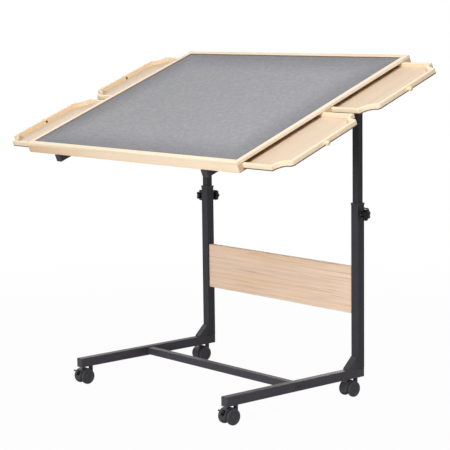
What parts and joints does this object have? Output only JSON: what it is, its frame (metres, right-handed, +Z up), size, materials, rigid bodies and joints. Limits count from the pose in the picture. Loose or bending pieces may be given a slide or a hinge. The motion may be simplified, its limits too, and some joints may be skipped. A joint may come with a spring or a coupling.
{
  "type": "jigsaw puzzle table with drawers",
  "caption": "Tilting felt-topped puzzle board with sliding sorting drawers on a height-adjustable black tube stand with braked casters.",
  "frame": {"origin": "on the floor, midway across the overall width and depth", "axes": "+X to the right along the cross bar, +Y to the back where the posts stand, +Z up"},
  "size_m": [1.184, 0.6046, 0.9074],
  "materials": {
    "frame_steel": "satin black powder coat",
    "black_plastic": "matt moulded",
    "wheel_plastic": "matt moulded",
    "bright_steel": "zinc plated",
    "bolt_steel": "black oxide",
    "pale_wood": "clear matt lacquer on pale wood",
    "tray_wood": "clear matt lacquer on pale wood",
    "panel_wood": "sanded plywood",
    "hard_panel": "smooth brown hardboard",
    "oak_board": "oak grain, satin",
    "grey_felt": "heathered felt"
  },
  "bodies": {
    "base": {"foot_left": "frame_steel", "foot_right": "frame_steel", "cross_bar": "frame_steel", "lower_post_left": "frame_steel", "lower_post_right": "frame_steel", "post_gussets": "frame_steel", "foot_caps": "black_plastic", "post_collars": "black_plastic", "base_bolts": "bolt_steel", "stretcher_board": "oak_board"},
    "upper_frame": {"upper_post_left": "frame_steel", "upper_post_right": "frame_steel", "post_rivets": "bright_steel", "pivot_bolts": "bright_steel"},
    "board": {"rail_left": "frame_steel", "rail_right": "frame_steel", "tilt_bracket_left": "frame_steel", "tilt_bracket_right": "frame_steel", "rail_caps": "black_plastic", "rail_screws": "bolt_steel", "rim_front": "pale_wood", "rim_back": "pale_wood", "rim_left": "pale_wood", "rim_right": "pale_wood", "front_apron": "pale_wood", "back_apron": "pale_wood", "cross_rail": "panel_wood", "centre_spines": "panel_wood", "bottom_panel": "hard_panel", "top_panel": "hard_panel", "felt": "grey_felt"},
    "drawer_front_left": {"drawer_front_left_frame": "tray_wood", "drawer_front_left_floor": "tray_wood", "drawer_front_left_pull": "pale_wood"},
    "drawer_front_right": {"drawer_front_right_frame": "tray_wood", "drawer_front_right_floor": "tray_wood", "drawer_front_right_pull": "pale_wood"},
    "drawer_rear_left": {"drawer_rear_left_frame": "tray_wood", "drawer_rear_left_floor": "tray_wood", "drawer_rear_left_pull": "pale_wood"},
    "drawer_rear_right": {"drawer_rear_right_frame": "tray_wood", "drawer_rear_right_floor": "tray_wood", "drawer_rear_right_pull": "pale_wood"},
    "caster_front_left": {"caster_front_left_hood": "black_plastic"},
    "caster_front_left_wheels": {"caster_front_left_wheels": "wheel_plastic"},
    "caster_front_left_brake": {"caster_front_left_brake": "black_plastic"},
    "caster_front_right": {"caster_front_right_hood": "black_plastic"},
    "caster_front_right_wheels": {"caster_front_right_wheels": "wheel_plastic"},
    "caster_front_right_brake": {"caster_front_right_brake": "black_plastic"},
    "caster_rear_left": {"caster_rear_left_hood": "black_plastic"},
    "caster_rear_left_wheels": {"caster_rear_left_wheels": "wheel_plastic"},
    "caster_rear_right": {"caster_rear_right_hood": "black_plastic"},
    "caster_rear_right_wheels": {"caster_rear_right_wheels": "wheel_plastic"},
    "post_knob_outer_left": {"post_knob_outer_left": "black_plastic"},
    "post_knob_rear_left": {"post_knob_rear_left": "black_plastic"},
    "tilt_knob_left": {"tilt_knob_left": "black_plastic"},
    "post_knob_outer_right": {"post_knob_outer_right": "black_plastic"},
    "post_knob_rear_right": {"post_knob_rear_right": "black_plastic"},
    "tilt_knob_right": {"tilt_knob_right": "black_plastic"}
  },
  "joints": [
    {"name": "height_slide", "type": "slide", "parent": "base", "child": "upper_frame", "axis": [0, 0, 1], "range_m": [-0.18, 0.08]},
    {"name": "board_tilt", "type": "hinge", "parent": "upper_frame", "child": "board", "pos_m": [0, 0.23757, 0.815], "axis": [1, 0, 0], "range_deg": [-21.7, 18.3]},
    {"name": "drawer_front_left_slide", "type": "slide", "parent": "board", "child": "drawer_front_left", "axis": [-1, 0, 0], "range_m": [-0.139, 0.17]},
    {"name": "drawer_front_right_slide", "type": "slide", "parent": "board", "child": "drawer_front_right", "axis": [1, 0, 0], "range_m": [-0.139, 0.17]},
    {"name": "drawer_rear_left_slide", "type": "slide", "parent": "board", "child": "drawer_rear_left", "axis": [-1, 0, 0], "range_m": [-0.134, 0.17]},
    {"name": "drawer_rear_right_slide", "type": "slide", "parent": "board", "child": "drawer_rear_right", "axis": [1, 0, 0], "range_m": [-0.134, 0.17]},
    {"name": "caster_front_left_swivel", "type": "hinge", "parent": "base", "child": "caster_front_left", "pos_m": [-0.308, -0.19918, 0.0475], "axis": [0, 0, 1], "continuous": true},
    {"name": "caster_front_left_roll", "type": "hinge", "parent": "caster_front_left", "child": "caster_front_left_wheels", "pos_m": [-0.308, -0.22118, 0.021], "axis": [1, 0, 0], "continuous": true},
    {"name": "caster_front_left_brake_press", "type": "hinge", "parent": "caster_front_left", "child": "caster_front_left_brake", "pos_m": [-0.308, -0.23818, 0.031], "axis": [1, 0, 0], "range_deg": [0, 14]},
    {"name": "caster_front_right_swivel", "type": "hinge", "parent": "base", "child": "caster_front_right", "pos_m": [0.308, -0.19918, 0.0475], "axis": [0, 0, 1], "continuous": true},
    {"name": "caster_front_right_roll", "type": "hinge", "parent": "caster_front_right", "child": "caster_front_right_wheels", "pos_m": [0.308, -0.22118, 0.021], "axis": [1, 0, 0], "continuous": true},
    {"name": "caster_front_right_brake_press", "type": "hinge", "parent": "caster_front_right", "child": "caster_front_right_brake", "pos_m": [0.308, -0.23818, 0.031], "axis": [1, 0, 0], "range_deg": [0, 14]},
    {"name": "caster_rear_left_swivel", "type": "hinge", "parent": "base", "child": "caster_rear_left", "pos_m": [-0.308, 0.22782, 0.0475], "axis": [0, 0, 1], "continuous": true},
    {"name": "caster_rear_left_roll", "type": "hinge", "parent": "caster_rear_left", "child": "caster_rear_left_wheels", "pos_m": [-0.308, 0.20582, 0.021], "axis": [1, 0, 0], "continuous": true},
    {"name": "caster_rear_right_swivel", "type": "hinge", "parent": "base", "child": "caster_rear_right", "pos_m": [0.308, 0.22782, 0.0475], "axis": [0, 0, 1], "continuous": true},
    {"name": "caster_rear_right_roll", "type": "hinge", "parent": "caster_rear_right", "child": "caster_rear_right_wheels", "pos_m": [0.308, 0.20582, 0.021], "axis": [1, 0, 0], "continuous": true},
    {"name": "post_knob_outer_left_turn", "type": "hinge", "parent": "base", "child": "post_knob_outer_left", "pos_m": [-0.32075, 0.23757, 0.4875], "axis": [-1, 0, 0], "range_deg": [0, 360]},
    {"name": "post_knob_rear_left_turn", "type": "hinge", "parent": "base", "child": "post_knob_rear_left", "pos_m": [-0.308, 0.25032, 0.4875], "axis": [0, 1, 0], "range_deg": [0, 360]},
    {"name": "tilt_knob_left_turn", "type": "hinge", "parent": "upper_frame", "child": "tilt_knob_left", "pos_m": [-0.322, 0.23757, 0.815], "axis": [-1, 0, 0], "range_deg": [0, 360]},
    {"name": "post_knob_outer_right_turn", "type": "hinge", "parent": "base", "child": "post_knob_outer_right", "pos_m": [0.32075, 0.23757, 0.4875], "axis": [1, 0, 0], "range_deg": [0, 360]},
    {"name": "post_knob_rear_right_turn", "type": "hinge", "parent": "base", "child": "post_knob_rear_right", "pos_m": [0.308, 0.25032, 0.4875], "axis": [0, 1, 0], "range_deg": [0, 360]},
    {"name": "tilt_knob_right_turn", "type": "hinge", "parent": "upper_frame", "child": "tilt_knob_right", "pos_m": [0.322, 0.23757, 0.815], "axis": [1, 0, 0], "range_deg": [0, 360]}
  ]
}
